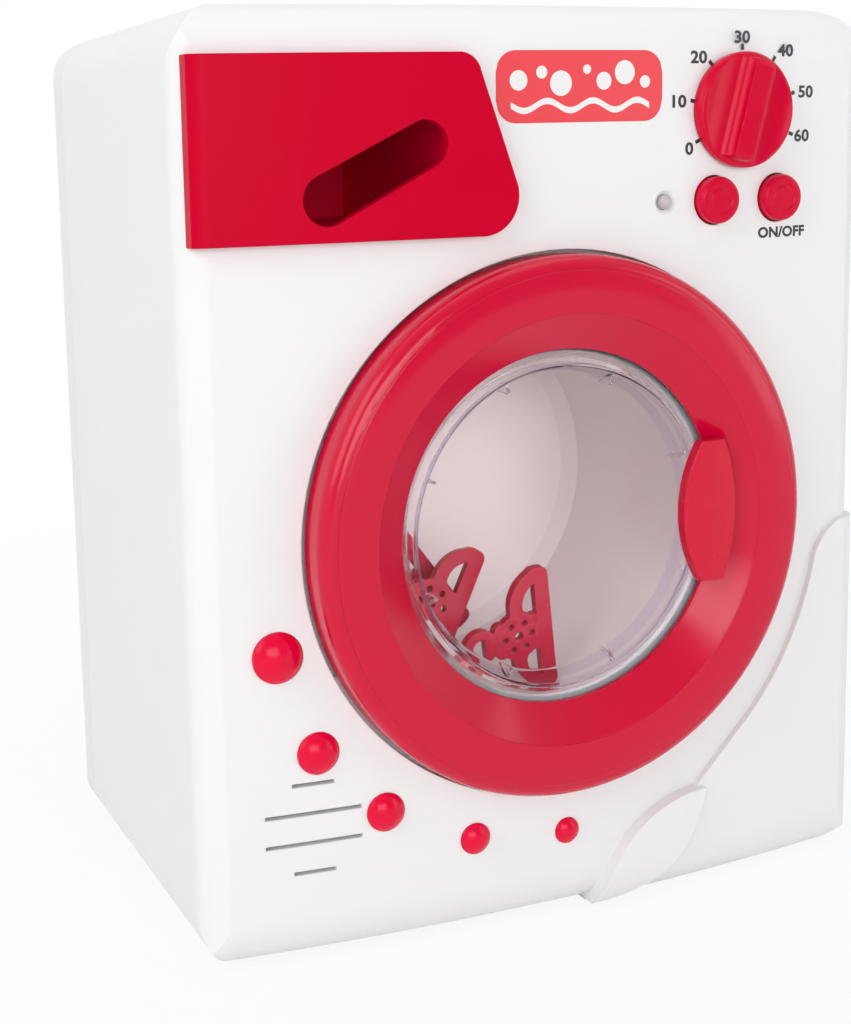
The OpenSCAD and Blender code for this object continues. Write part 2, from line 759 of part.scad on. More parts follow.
// Front plate: spacers to the rear plate and two jaws that hold the motor
module gearbox_front() color([0.86, 0.87, 0.88]) place() difference() {
    union() {
        prism(69, 71) gearbox_outline();
        for (p = posts) bar(p[0], p[1], 3, 70.9, 82);
        for (s = [-1, 1]) prism(56, 69.1) translate(motor_at) rotate(train_angle)
            translate([-7.6 + (s + 1) / 2 * 15.25 - (s < 0 ? 1.55 : 0), -6]) square([1.5, 12]);
    }
    bar(door_x, door_z, 4, 60, 80);
    bar(motor_at[0], motor_at[1], 3.05, 60, 80);
    bar(idler_at[0], idler_at[1], axle_r, 60, 80);
    for (p = posts) bar(p[0], p[1], 1.3, 60, 90);
}

module gearbox_back() color([0.86, 0.87, 0.88]) place() difference() {
    prism(82, 84) gearbox_outline();
    bar(door_x, door_z, shaft_r + 0.05, 60, 90);
    bar(idler_at[0], idler_at[1], axle_r, 60, 90);
    for (p = posts) bar(p[0], p[1], 1.3, 60, 90);
}

// Long screws through both plates into the cover's bosses, heads towards the front
module gearbox_screws() color(steel) place() for (p = posts) {
    bar(p[0], p[1], 1.08, 68.9, 92);
    bar(p[0], p[1], 2.2, 67.7, 69);
}

// Plain bush in which the drum's shaft runs
module drum_bush() color([0.8, 0.62, 0.3]) place() difference() {
    union() {
        bar(door_x, door_z, 4, 68.2, 71.4);
        bar(door_x, door_z, 5.2, 67.8, 69);
    }
    bar(door_x, door_z, shaft_r + 0.05, 60, 80);
}

hanger_t = 1.8;

// Doll-size coat hanger: rail, arched shoulders with rounded ends, pierced rosette, hook
module hanger_outline() {
    rail = 25;
    w = 3.4;
    difference() {
        union() {
            translate([-rail / 2, 0]) square([rail, w]);
            for (s = [-1, 1]) {
                translate([s * rail / 2, w / 2]) circle(r = w / 2);
                translate([s * (rail / 2 + 0.2), w / 2 + 1.6]) circle(r = 1.7);
                intersection() {
                    difference() {
                        translate([s * 6.2, 1.4]) circle(r = 8.2);
                        translate([s * 6.2, 1.4]) circle(r = 5.2);
                    }
                    translate([s > 0 ? 5 : -16, 2]) square([11, 12]);
                }
            }
            translate([0, 8]) circle(r = 5.2);
            for (a = [0:60:300]) translate([4.6 * cos(a), 8 + 4.6 * sin(a)]) circle(r = 1.8);
            translate([-1.5, 11]) square([3, 5]);
            translate([0, 17]) difference() {
                circle(r = 4);
                circle(r = 1.9);
                translate([-6, -1]) square([5, 2.6]);
            }
        }
        for (a = [30:60:330]) translate([3.1 * cos(a), 8 + 3.1 * sin(a)]) circle(r = 0.7);
        translate([0, 8]) circle(r = 1);
    }
}

// Three loose hangers as they lie in the drum: across and up from its axis, tilt, lean
hangers = [[4, 15.5, -25.15, 100, 8], [-12.6, 24, -22.08, 62, -6], [-13.6, 33, -16.07, 128, 5]];
module toy_hangers() color(red) place() for (h = hangers)
    translate([door_x + h[0], h[1], door_z + h[2]]) rotate([90 + h[4], 0, 0]) rotate([0, 0, h[3]])
        translate([0, -2, -hanger_t / 2]) linear_extrude(height = hanger_t) hanger_outline();

// Timer knob: a low disc with a grip bar across it, left standing between two scoops that
// are steep beside the bar and run out flat to the rim
knob_disc = 1.9;
knob_h = 4.4;
knob_bar = 2.1;
module knob() color(red) place() difference() {
    base = knob_base;
    steep = 2.6;
    flat = 16;
    revolved(knob_x, knob_z) polygon([[0, -base], [knob_r, -base], [knob_r, knob_disc - base - 0.5],
        [knob_r - 0.5, knob_disc - base], [knob_r - 0.9, knob_disc - base + 0.1],
        [knob_r - 1.4, knob_h - base - 0.5], [knob_r - 2, knob_h - base - 0.1],
        [knob_r - 2.6, knob_h - base], [0, knob_h - base]]);
    translate([knob_x, base, knob_z]) rotate([0, -knob_turn, 0]) translate([-20, 0, 0])
        rotate([0, 90, 0]) linear_extrude(height = 40) for (s = [0, 1]) mirror([s, 0]) {
            low = knob_h - steep;
            translate([knob_bar + steep, -knob_h]) circle(r = steep);
            intersection() {
                translate([knob_bar + steep, 0.02 - low - flat]) circle(r = flat, $fn = fine);
                translate([knob_bar + steep, -20]) square([20, 19]);
            }
        }
    bar(knob_x, knob_z, 2, base - 1, 3);
}

module knob_shaft() color(white) place() {
    bar(knob_x, knob_z, 2, knob_base - 1, knob_base + 0.1);
    bar(knob_x, knob_z, knob_bore - 0.05, knob_base, 11.5);
}

module timer_switch() color([0.2, 0.25, 0.4]) place() difference() {
    union() {
        bar(knob_x, knob_z, 8, 8.2, board_y);
        translate([knob_x - 6, 11, knob_z - 10]) cube([12, board_y - 11, 6]);
    }
    bar(knob_x, knob_z, knob_bore, 5, 11.8);
}

// Push button: rounded cap, shallow ring in its face, retaining flange behind the wall
module push_button(x) {
    front = 2.6 - front_at(x);
    seat = -front_at(x + button_r + 1.1) - wall - 0.1;
    revolved(x, button_z) difference() {
        union() {
            polygon([[0, -9], [button_r - 1.6, -9], [button_r - 1.6, seat - 1.2],
                [button_r + 1.1, seat - 1.2], [button_r + 1.1, seat], [button_r, seat],
                [button_r, front - 0.9], [button_r - 0.9, front], [0, front]]);
            translate([button_r - 0.9, front - 0.9]) circle(r = 0.9, $fn = 48);
        }
        translate([button_r - 2.2, front + 0.25]) circle(r = 0.45, $fn = 32);
    }
}
module button_left() color(red) place() push_button(button_x[0]);
module button_right() color(red) place() push_button(button_x[1]);

// Rubber domes on the board; the buttons press them down
module rubber_pad(x) {
    revolved(x, button_z) polygon([[0, -9], [0, -board_y], [6, -board_y], [6, -14.6],
        [4.2, -14], [2.6, -9]]);
}
module pad_left() color([0.5, 0.5, 0.52]) place() rubber_pad(button_x[0]);
module pad_right() color([0.5, 0.5, 0.52]) place() rubber_pad(button_x[1]);

module circuit_board() color([0.1, 0.4, 0.2]) place() difference() {
    prism(board_y, board_y + 1.6) rounded(14.5, 132.5, 67, 175.5, 1.5);
    for (p = board_posts) bar(p[0], p[1], 0.9, 10, 20);
}

module board_screws() color(steel) place() for (p = board_posts) {
    bar(p[0], p[1], 0.88, board_y - 6, board_y + 1.7);
    bar(p[0], p[1], 2, board_y + 1.6, board_y + 2.8);
}

// Small round speaker in its rim behind the slits
module speaker() color([0.25, 0.25, 0.27]) place() revolved(slit_x, speaker_z)
    polygon([[0, -7], [0, -16], [9.5, -16], [9.5, -12], [speaker_r, -8], [speaker_r, -5.62],
        [11.5, -5.62], [5, -6.6]]);

// Face of the drawer: follows the bowed front and turns round the left edge
module drawer_front() color(red) place() difference() {
    intersection() {
        body_form(-0.3 - drawer_t);
        translate([-75, -12, drawer_z0]) cube([85, 20, drawer_z1 - drawer_z0]);
        prism(-14, 10) drawer_outline();
    }
    body_form(-0.3);
    prism(-12, 12) finger_slot();
}

// Open-topped detergent tray behind the face
module drawer_tray() color(red) place() {
    difference() {
        translate([tray_x0, -1, tray_z0])
            cube([tray_x1 - tray_x0, tray_len + 1, tray_z1 - tray_z0]);
        translate([tray_x0 + tray_wall, -2, tray_z0 + tray_wall])
            cube([tray_x1 - tray_x0 - 2 * tray_wall, tray_len + 2 - tray_wall, tray_z1]);
        difference() {
            translate([-100, -30, 0]) cube([200, 60, 200]);
            body_form(-0.3);
        }
    }
}

// Shelf and side rails on which the tray runs
module drawer_sleeve() color(white) place() difference() {
    intersection() {
        translate([tray_x0 - 2, -2, tray_z0 - 2]) cube([tray_x1 - tray_x0 + 4, 61.5, 24]);
        body_form(wall);
    }
    translate([tray_x0 - 0.3, -3, tray_z0 - 0.15]) cube([tray_x1 - tray_x0 + 0.6, 61, 40]);
}

// Two AA cells side by side, poles facing opposite ways
module battery_cells() color([0.2, 0.2, 0.22]) place() for (k = [0, 1]) {
    s = k == 0 ? 1 : -1;
    translate([-s * cell_len / 2, cell_y, cell_z[k]]) rotate([0, s * 90, 0]) {
        cylinder(r = cell_r, h = cell_len);
        cylinder(r = 2.7, h = cell_len + 1.2);
    }
}

// Sheet-metal contacts at the ends of the bay
module battery_contacts() color(steel) place() for (s = [-1, 1], k = [0, 1])
    translate([s * 30.7, cell_y, cell_z[k]]) {
        // the sprung tongue is longer where it meets a cell's flat end
        reach = (s > 0) == (k == 0) ? 4.9 : 6.1;
        cube([0.5, 10, 10], center = true);
        translate([-s * (reach / 2 + 0.1), 0, 0]) cube([reach, 2.2, 2.2], center = true);
    }

module battery_cover() color(white) place() difference() {
    prism(body_d - 2.4, body_d)
        rounded(bay[0] - 2.8, bay[1] - 2.8, bay[2] + 2.8, bay[3] + 5.8, 1.8);
    bar(0, bay[3] + 3.6, 1.2, 90, 110);
    bar(0, bay[3] + 3.6, 2.4, body_d - 1.3, 110);
    // finger grooves
    for (k = [-2:2]) translate([-9, body_d - 0.5, 16 + 2.4 * k]) cube([18, 1, 1.1]);
}

module battery_screw() color(steel) place()
    screw(0, bay[3] + 3.6, body_d - 8, body_d - 1.3, 1.05, 2.1);

front_shell();
rear_cover();
rear_screws();
bubble_caps();
led_lens();
door_ring();
door_window();
window_retainer();
window_screws();
door_handle();
door_hinge_pin();
drum();
drum_shaft();
drum_gear();
toy_hangers();
idler_gear();
idler_axle();
motor();
motor_shaft();
motor_pinion();
gearbox_front();
gearbox_back();
gearbox_screws();
drum_bush();
knob();
knob_shaft();
timer_switch();
button_left();
button_right();
pad_left();
pad_right();
circuit_board();
board_screws();
speaker();
drawer_front();
drawer_tray();
drawer_sleeve();
battery_cells();
battery_contacts();
battery_cover();
battery_screw();
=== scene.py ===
import bpy
import math
import numpy as np
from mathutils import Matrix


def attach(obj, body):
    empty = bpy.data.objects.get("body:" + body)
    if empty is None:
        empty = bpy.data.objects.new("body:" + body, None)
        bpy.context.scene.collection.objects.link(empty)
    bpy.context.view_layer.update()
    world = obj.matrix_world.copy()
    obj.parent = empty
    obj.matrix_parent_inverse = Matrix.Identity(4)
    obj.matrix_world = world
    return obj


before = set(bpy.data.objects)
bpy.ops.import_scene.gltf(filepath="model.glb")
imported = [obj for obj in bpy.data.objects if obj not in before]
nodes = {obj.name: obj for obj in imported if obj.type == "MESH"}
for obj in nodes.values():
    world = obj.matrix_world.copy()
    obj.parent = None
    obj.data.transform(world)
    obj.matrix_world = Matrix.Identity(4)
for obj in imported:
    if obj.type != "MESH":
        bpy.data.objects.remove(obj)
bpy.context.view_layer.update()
scene = bpy.context.scene
scene.view_settings.view_transform = "Standard"

# Camera
# The photograph's viewpoint, from the left and slightly above, with a lens of about 56 mm.
# The shift only carries the photograph's framing.
camera_data = bpy.data.cameras.new("camera")
camera_data.lens = 56.243
camera_data.sensor_width = 36.0
camera_data.shift_x = 0.1279
camera_data.shift_y = -0.109
camera_data.clip_start = 0.01
camera = bpy.data.objects.new("camera", camera_data)
camera.location = (-0.164855, -0.316925, 0.156182)
camera.rotation_euler = (1.422402, 0.027629, -0.381734)
scene.collection.objects.link(camera)
scene.camera = camera

# Tent
# The white cloth round a catalogue picture. It is white to the camera and behind the toy,
# dimmer as a light, and darker on the photographer's side.
tent_light = 0.56
tent_front = 0.3
tent_front_from, tent_front_to = -0.95, -0.1
world = bpy.data.worlds.new("studio")
scene.world = world
world.use_nodes = True
sky = world.node_tree
tent = sky.nodes["Background"]
tent.inputs["Color"].default_value = (1.0, 1.0, 1.0, 1.0)


def ramp(tree, source, values):
    """A Map Range node from a source socket: from low, from high, to low, to high."""
    node = tree.nodes.new("ShaderNodeMapRange")
    for name, value in zip(("From Min", "From Max", "To Min", "To Max"), values):
        node.inputs[name].default_value = value
    tree.links.new(source, node.inputs["Value"])
    return node.outputs["Result"]


def combine(tree, operation, *parts, clamp=True):
    """A Math node on sockets or numbers, kept between 0 and 1 unless told otherwise."""
    node = tree.nodes.new("ShaderNodeMath")
    node.operation = operation
    node.use_clamp = clamp
    for socket, part in zip(node.inputs, parts):
        if isinstance(part, float):
            socket.default_value = part
        else:
            tree.links.new(part, socket)
    return node.outputs[0]


def ray_kinds(tree, *kinds):
    """1 for rays of these kinds, 0 for all others."""
    path = tree.nodes.new("ShaderNodeLightPath")
    total = path.outputs[kinds[0]]
    for kind in kinds[1:]:
        total = combine(tree, "ADD", total, path.outputs[kind])
    return total


sky_place = sky.nodes.new("ShaderNodeTexCoord")
sky_axes = sky.nodes.new("ShaderNodeSeparateXYZ")
sky.links.new(sky_place.outputs["Generated"], sky_axes.inputs[0])
tent_shade = ramp(sky, sky_axes.outputs["Y"],
                  (tent_front_from, tent_front_to, tent_front, 1.0))
tent_level = ramp(sky, ray_kinds(sky, "Is Glossy Ray"), (0.0, 1.0, tent_light, 1.0))
tent_seen = ray_kinds(sky, "Is Camera Ray", "Is Transmission Ray")
sky.links.new(combine(sky, "MAXIMUM", combine(sky, "MULTIPLY", tent_shade, tent_level),
                      tent_seen), tent.inputs["Strength"])

# Floor
# A wide matt board. It takes the toy's shadow close by, and further out it turns as white
# as the tent to the camera and in mirror images.
floor_half = 3.0
floor_near, floor_far = 0.1, 0.4
floor_white_near = 0.88


def vector_step(tree, operation, source, value=None):
    """A Vector Math node on a socket, with a fixed second vector where it needs one."""
    node = tree.nodes.new("ShaderNodeVectorMath")
    node.operation = operation
    tree.links.new(source, node.inputs[0])
    if value is not None:
        node.inputs[1].default_value = value
    return node.outputs["Value" if operation == "LENGTH" else "Vector"]


floor_mesh = bpy.data.meshes.new("floor")
floor_mesh.from_pydata(
    [(-floor_half, -floor_half, 0), (floor_half, -floor_half, 0),
     (floor_half, floor_half, 0), (-floor_half, floor_half, 0)], [], [(0, 1, 2, 3)])
floor = bpy.data.objects.new("floor", floor_mesh)
scene.collection.objects.link(floor)
floor_board = bpy.data.materials.new("floor")
floor_board.use_nodes = True
floor_tree = floor_board.node_tree
floor_matt = floor_tree.nodes["Principled BSDF"]
floor_matt.inputs["Base Color"].default_value = (0.9, 0.9, 0.9, 1.0)
floor_matt.inputs["Roughness"].default_value = 0.7
floor_place = floor_tree.nodes.new("ShaderNodeTexCoord")
floor_reach = vector_step(floor_tree, "LENGTH", floor_place.outputs["Object"])
floor_fade = ramp(floor_tree, floor_reach, (floor_near, floor_far, floor_white_near, 1.0))
floor_share = combine(floor_tree, "MULTIPLY", floor_fade, ray_kinds(
    floor_tree, "Is Camera Ray", "Is Glossy Ray", "Is Transmission Ray"))
floor_white = floor_tree.nodes.new("ShaderNodeEmission")
floor_mix = floor_tree.nodes.new("ShaderNodeMixShader")
floor_tree.links.new(floor_share, floor_mix.inputs[0])
floor_tree.links.new(floor_matt.outputs[0], floor_mix.inputs[1])
floor_tree.links.new(floor_white.outputs[0], floor_mix.inputs[2])
floor_tree.links.new(floor_mix.outputs[0],
                     floor_tree.nodes["Material Output"].inputs["Surface"])
floor_mesh.materials.append(floor_board)

# Lamps
# Four soft boxes aimed at the middle of the toy: the main one in front, one on the left, a
# weak one low on the right and one overhead. Each has a place, a size and a power in watts.
lamp_aim = np.array((0.0, 0.0, 0.09))
panels = [
    ("panel_left", (-1.1, -0.5, 0.75), (0.8, 0.9), 6.0),
    ("panel_front", (-0.3, -1.7, 0.45), (1.1, 0.7), 10.6),
    ("panel_right", (0.75, -0.6, 0.2), (0.3, 0.7), 1.1),
    ("panel_top", (0.05, 0.1, 1.1), (1.2, 1.0), 2.8),
]
for name, place, size, watts in panels:
    lamp = bpy.data.lights.new(name, "AREA")
    lamp.shape = "RECTANGLE"
    lamp.size, lamp.size_y = size
    lamp.energy = watts
    lamp_object = bpy.data.objects.new(name, lamp)
    lamp_object.location = place
    aim = lamp_aim - np.array(place)
    yaw = math.atan2(aim[1], aim[0]) - math.pi / 2
    pitch = math.atan2(aim[2], math.hypot(aim[0], aim[1])) + math.pi / 2
    lamp_object.rotation_euler = (pitch, 0.0, yaw)
    scene.collection.objects.link(lamp_object)

# Housing front
# One white injection moulding with a glossy skin. The skin has a trace of orange peel, a
# slightly uneven gloss and a faint drift of its white, and the mould rounds every edge.
cloud_scale = 14.0
handled_scale = 55.0
handled_range = (0.3, 0.7, 0.85, 1.25)
mould_edge = 0.00035
mould_edge_rays = 8
peel_height = 0.0001


def add_node(tree, kind, **values):
    """A node of that kind, with its input sockets set by name."""
    node = tree.nodes.new(kind)
    for key, value in values.items():
        node.inputs[key.replace("_", " ")].default_value = value
    return node


def moulded_group():
    """The shared surface of moulded plastic. The colour is multiplied by 1 + drift * (cloud
    noise - 0.5), the roughness by a second noise spread over the handled range, and the
    normal is that of a rounded edge, tilted by the orange peel."""
    group = bpy.data.node_groups.new("moulded_surface", "ShaderNodeTree")
    for name, kind in [("Colour", "NodeSocketColor"), ("Drift", "NodeSocketFloat"),
                       ("Roughness", "NodeSocketFloat"), ("Peel", "NodeSocketFloat"),
                       ("Scale", "NodeSocketFloat")]:
        group.interface.new_socket(name, in_out="INPUT", socket_type=kind)
    for name, kind in [("Colour", "NodeSocketColor"), ("Roughness", "NodeSocketFloat"),
                       ("Normal", "NodeSocketVector")]:
        group.interface.new_socket(name, in_out="OUTPUT", socket_type=kind)
    link = group.links.new
    given = group.nodes.new("NodeGroupInput")
    result = group.nodes.new("NodeGroupOutput")
    place = group.nodes.new("ShaderNodeTexCoord").outputs["Object"]

    cloud = add_node(group, "ShaderNodeTexNoise", Scale=cloud_scale, Detail=4.0,
                     Roughness=0.55)
    link(place, cloud.inputs["Vector"])
    centred = combine(group, "SUBTRACT", cloud.outputs["Fac"], 0.5, clamp=False)
    amount = combine(group, "MULTIPLY_ADD", centred, given.outputs["Drift"], 1.0, clamp=False)
    tint = group.nodes.new("ShaderNodeVectorMath")
    tint.operation = "SCALE"
    link(given.outputs["Colour"], tint.inputs[0])
    link(amount, tint.inputs["Scale"])
    link(tint.outputs[0], result.inputs["Colour"])

    handled = add_node(group, "ShaderNodeTexNoise", Scale=handled_scale, Detail=5.0,
                       Roughness=0.6)
    link(place, handled.inputs["Vector"])
    dull = ramp(group, handled.outputs["Fac"], handled_range)
    link(combine(group, "MULTIPLY", dull, given.outputs["Roughness"], clamp=False),
         result.inputs["Roughness"])

    peel = add_node(group, "ShaderNodeTexNoise", Detail=2.0, Roughness=0.5)
    link(place, peel.inputs["Vector"])
    link(given.outputs["Scale"], peel.inputs["Scale"])
    edge = add_node(group, "ShaderNodeBevel", Radius=mould_edge)
    edge.samples = mould_edge_rays
    bump = add_node(group, "ShaderNodeBump", Distance=peel_height)
    link(edge.outputs["Normal"], bump.inputs["Normal"])
    link(peel.outputs["Fac"], bump.inputs["Height"])
    link(given.outputs["Peel"], bump.inputs["Strength"])
    link(bump.outputs["Normal"], result.inputs["Normal"])
    return group


moulded = moulded_group()
skin_depth = 0.004


def moulded_shader(name, drift, peel, scale):
    """A new material whose shader takes its colour, roughness and normal from the shared
    surface. Returns the material, the surface node and the shader."""
    finish = bpy.data.materials.new(name)
    finish.use_nodes = True
    tree = finish.node_tree
    shader = tree.nodes["Principled BSDF"]
    surface = add_node(tree, "ShaderNodeGroup")
    surface.node_tree = moulded
    for key, value in (("Drift", drift), ("Peel", peel), ("Scale", scale)):
        surface.inputs[key].default_value = value
    tree.links.new(surface.outputs["Colour"], shader.inputs["Base Color"])
    tree.links.new(surface.outputs["Roughness"], shader.inputs["Roughness"])
    tree.links.new(surface.outputs["Normal"], shader.inputs["Normal"])
    return finish, surface, shader


def plastic(name, colour, roughness, drift=0.05, peel=0.06, scale=260.0, milky=0.0,
            specular=0.5):
    """A moulded plastic with its own colour, dullness and grain, and milky where light
    goes a little way into it."""
    finish, surface, shader = moulded_shader(name, drift, peel, scale)
    surface.inputs["Colour"].default_value = (*colour, 1.0)
    surface.inputs["Roughness"].default_value = roughness
    shader.inputs["Specular IOR Level"].default_value = specular
    if milky:
        shader.inputs["Subsurface Weight"].default_value = milky
        shader.inputs["Subsurface Radius"].default_value = (skin_depth,) * 3
        shader.inputs["Subsurface Scale"].default_value = 1.0
    return finish


def paint(finish, *names):
    """Gives CAD nodes a material in place of their plain one."""
    for name in names:
        mesh = nodes[name].data
        mesh.materials.clear()
        mesh.materials.append(finish)


white_gloss = plastic("white_gloss", (0.84, 0.845, 0.85), 0.38, drift=0.012, peel=0.006,
                      scale=120.0, specular=0.25)
paint(white_gloss, "front_shell")

# Bubble caps
# Five glossy red domes, a lighter red than the door. Each is moulded with a peg that is
# pressed into the front.
red_bright = plastic("red_bright", (0.78, 0.0, 0.042), 0.2, drift=0.06, peel=0.04,
                     specular=0.22)
paint(red_bright, "bubble_caps")

# Lamp lens
# A small lens of greyish clear plastic, slightly milky, in a hole of the front beside the
# buttons.
lens_clear = plastic("lens_clear", (0.5, 0.46, 0.46), 0.12, drift=0.12, peel=0.05,
                     scale=700.0, milky=0.3)
paint(lens_clear, "led_lens")

# Drawer
# The face is satin red plastic. The tray behind it slides on white rails inside the housing;
# its red is painted brighter than the face's, painted light that keeps it lit in the shade
# behind the finger slot.
red_satin = plastic("red_satin", (0.59, 0.0, 0.024), 0.32, scale=240.0, specular=0.05)
paint(red_satin, "drawer_front")
# Painted light: the tray's red is brighter than the face's so that it looks lit in the shade
# behind the slot.
red_tray_painted_light = plastic("red_tray_painted_light", (0.9, 0.0, 0.05), 0.35, scale=240.0, specular=0.15)
paint(red_tray_painted_light, "drawer_tray")
rail_white = plastic("rail_white", (0.7, 0.7, 0.72), 0.42, peel=0.15, scale=900.0)
paint(rail_white, "drawer_sleeve")

# Drum
# Pinkish white plastic without a shine, one moulding with its ribs and holes. It turns on a
# shaft behind the door.
drum_white = plastic("drum_white", (0.85, 0.755, 0.76), 0.42, drift=0.03, peel=0.05)
paint(drum_white, "drum")

# Toy hangers
# Three doll hangers of dark red plastic, thin glossy mouldings that lie in the drum.
red_toy = plastic("red_toy", (0.42, 0.004, 0.03), 0.26, drift=0.08, peel=0.08, scale=500.0)
paint(red_toy, "toy_hangers")

# Gears
# Milky nylon, moulded with their teeth: the drum's gear, the double gear that drives it and
# the pinion on the motor.
nylon = plastic("nylon", (0.74, 0.71, 0.62), 0.4, drift=0.06, peel=0.1, scale=600.0,
                milky=0.15)
paint(nylon, "drum_gear", "idler_gear", "motor_pinion")

# Gearbox
# Two grey plates with a fine spark texture, screwed together round the drive. The drum's
# shaft runs in a bush of turned brass.
grey_box = plastic("grey_box", (0.5, 0.51, 0.53), 0.45, drift=0.06, peel=0.25, scale=1500.0)
paint(grey_box, "gearbox_front", "gearbox_back")
plating_drift = 0.15
plating_grain = 0.12


def metal(name, colour, roughness, scale=900.0):
    """A plated or bare metal: the shared surface with full metallic reflection."""
    finish = plastic(name, colour, roughness, drift=plating_drift, peel=plating_grain,
                     scale=scale)
    finish.node_tree.nodes["Principled BSDF"].inputs["Metallic"].default_value = 1.0
    return finish


brass = metal("brass", (0.66, 0.44, 0.16), 0.3)
paint(brass, "drum_bush")

# Motor
# A small motor in a can drawn from plated steel sheet. The gearbox plates hold it, and it
# turns the pinion.
can_steel = metal("can_steel", (0.6, 0.6, 0.62), 0.26, scale=1800.0)
paint(can_steel, "motor")

# Knob and buttons
# Polished red plastic. The knob is pushed on a white shaft that turns the dark switch
# behind it, and the buttons sit in two holes of the front.
red_control = plastic("red_control", (0.63, 0.0, 0.032), 0.2, peel=0.05, scale=340.0,
                      specular=0.15)
paint(red_control, "knob", "button_left", "button_right")
paint(rail_white, "knob_shaft")
dark_body = plastic("dark_body", (0.03, 0.035, 0.05), 0.45, peel=0.2, scale=1200.0)
paint(dark_body, "timer_switch")

# Button pads and circuit board
# Two pads of grey rubber push the buttons back. They stand on a green board whose lacquer
# is cloudy.
rubber = plastic("rubber", (0.16, 0.16, 0.17), 0.75, drift=0.15, peel=0.3, scale=1400.0)
paint(rubber, "pad_left", "pad_right")
board_green = plastic("board_green", (0.02, 0.14, 0.05), 0.35, drift=0.25, peel=0.15,
                      scale=900.0)
paint(board_green, "circuit_board")

# Speaker
# A basket with a cone of black paper, rough and without a shine. It sits behind the slits
# of the front.
cone_black = plastic("cone_black", (0.02, 0.02, 0.022), 0.8, drift=0.3, peel=0.6,
                     scale=1600.0)
paint(cone_black, "speaker")

# Battery cells and contacts
# Two cells in a black glossy wrap lie in the back, between springy contacts of nickel-plated
# steel.
wrap = plastic("wrap", (0.03, 0.03, 0.04), 0.25, drift=0.1, peel=0.08, scale=400.0)
paint(wrap, "battery_cells")
nickel = metal("nickel", (0.62, 0.6, 0.56), 0.28)
paint(nickel, "battery_contacts")

# Rear cover and battery cover
# The front's white plastic with the fine spark texture that such backs have. Both are
# screwed on.
white_spark = plastic("white_spark", (0.82, 0.825, 0.83), 0.5, drift=0.03, peel=0.35,
                      scale=2400.0)
paint(white_spark, "rear_cover", "battery_cover")

# Screws, pins and shafts
# Zinc-plated steel, turned or rolled, with a dull drift in the plating. They hold the
# housing, the gearbox, the board and the pane, and carry the door, the drum and the gears.
zinc = metal("zinc", (0.55, 0.56, 0.58), 0.34)
paint(zinc, "rear_screws", "window_screws", "gearbox_screws", "board_screws",
      "battery_screw", "door_hinge_pin", "drum_shaft", "idler_axle", "motor_shaft")

# Door ring
# Deep red, one hollow moulding with the longest soft reflections of the toy. It hangs on a
# pin at its left edge.
red_gloss = plastic("red_gloss", (0.61, 0.0, 0.034), 0.16, peel=0.03, scale=160.0,
                    specular=0.34)
paint(red_gloss, "door_ring")

# Door handle
# The red grip at the pane's edge, duller than the ring from fingers. It is pressed into the
# ring.
red_grip = plastic("red_grip", (0.64, 0.0, 0.032), 0.26, drift=0.06, peel=0.05, scale=300.0,
                   specular=0.35)
paint(red_grip, "door_handle")

# Door pane
# Clear polystyrene, one dished moulding that a white ring clamps. A violet band on the bead
# round its dish is a painted glint, the colour that refraction shows there; its rim is
# frosted, and light falls through it on what lies behind.
door_axis = (-0.00125, -0.047375, 0.0828)
pane_bead = 0.0325
pane_bead_half = 0.0005
pane_clear_tint = (0.985, 0.975, 0.98, 1.0)
pane_glint_tint = (0.8, 0.77, 0.93, 1.0)
pane_rim_from, pane_rim_to = 0.0335, 0.035
pane_smooth, pane_frosted = 0.02, 0.35
pane_shadow = 0.08
pane_clear, pane_surface, pane_shader = moulded_shader("pane_clear", 0.01, 0.02, 90.0)
pane_tree = pane_clear.node_tree
pane_shader.inputs["Transmission Weight"].default_value = 1.0
pane_shader.inputs["IOR"].default_value = 1.2
pane_place = pane_tree.nodes.new("ShaderNodeTexCoord").outputs["Object"]
pane_offset = vector_step(pane_tree, "SUBTRACT", pane_place, door_axis)
pane_flat = vector_step(pane_tree, "MULTIPLY", pane_offset, (1.0, 0.0, 1.0))
pane_radius = vector_step(pane_tree, "LENGTH", pane_flat)
# Painted glint: a violet band in the pane's colour at the bead's radius stands in for the
# colour that refraction shows there.
pane_glint_band = combine(pane_tree, "COMPARE", pane_radius, pane_bead, pane_bead_half,
                    clamp=False)
pane_tint_and_glint = pane_tree.nodes.new("ShaderNodeMix")
pane_tint_and_glint.data_type = "RGBA"
pane_tint_and_glint.inputs["A"].default_value = pane_clear_tint
pane_tint_and_glint.inputs["B"].default_value = pane_glint_tint
pane_tree.links.new(pane_glint_band, pane_tint_and_glint.inputs["Factor"])
pane_tree.links.new(pane_tint_and_glint.outputs["Result"], pane_surface.inputs["Colour"])
pane_tree.links.new(ramp(pane_tree, pane_radius,
                         (pane_rim_from, pane_rim_to, pane_smooth, pane_frosted)),
                    pane_surface.inputs["Roughness"])
pane_tree.links.new(ramp(pane_tree, ray_kinds(pane_tree, "Is Shadow Ray"),
                         (0.0, 1.0, 1.0, pane_shadow)),
                    pane_shader.inputs["Alpha"])
paint(pane_clear, "door_window")
paint(rail_white, "window_retainer")

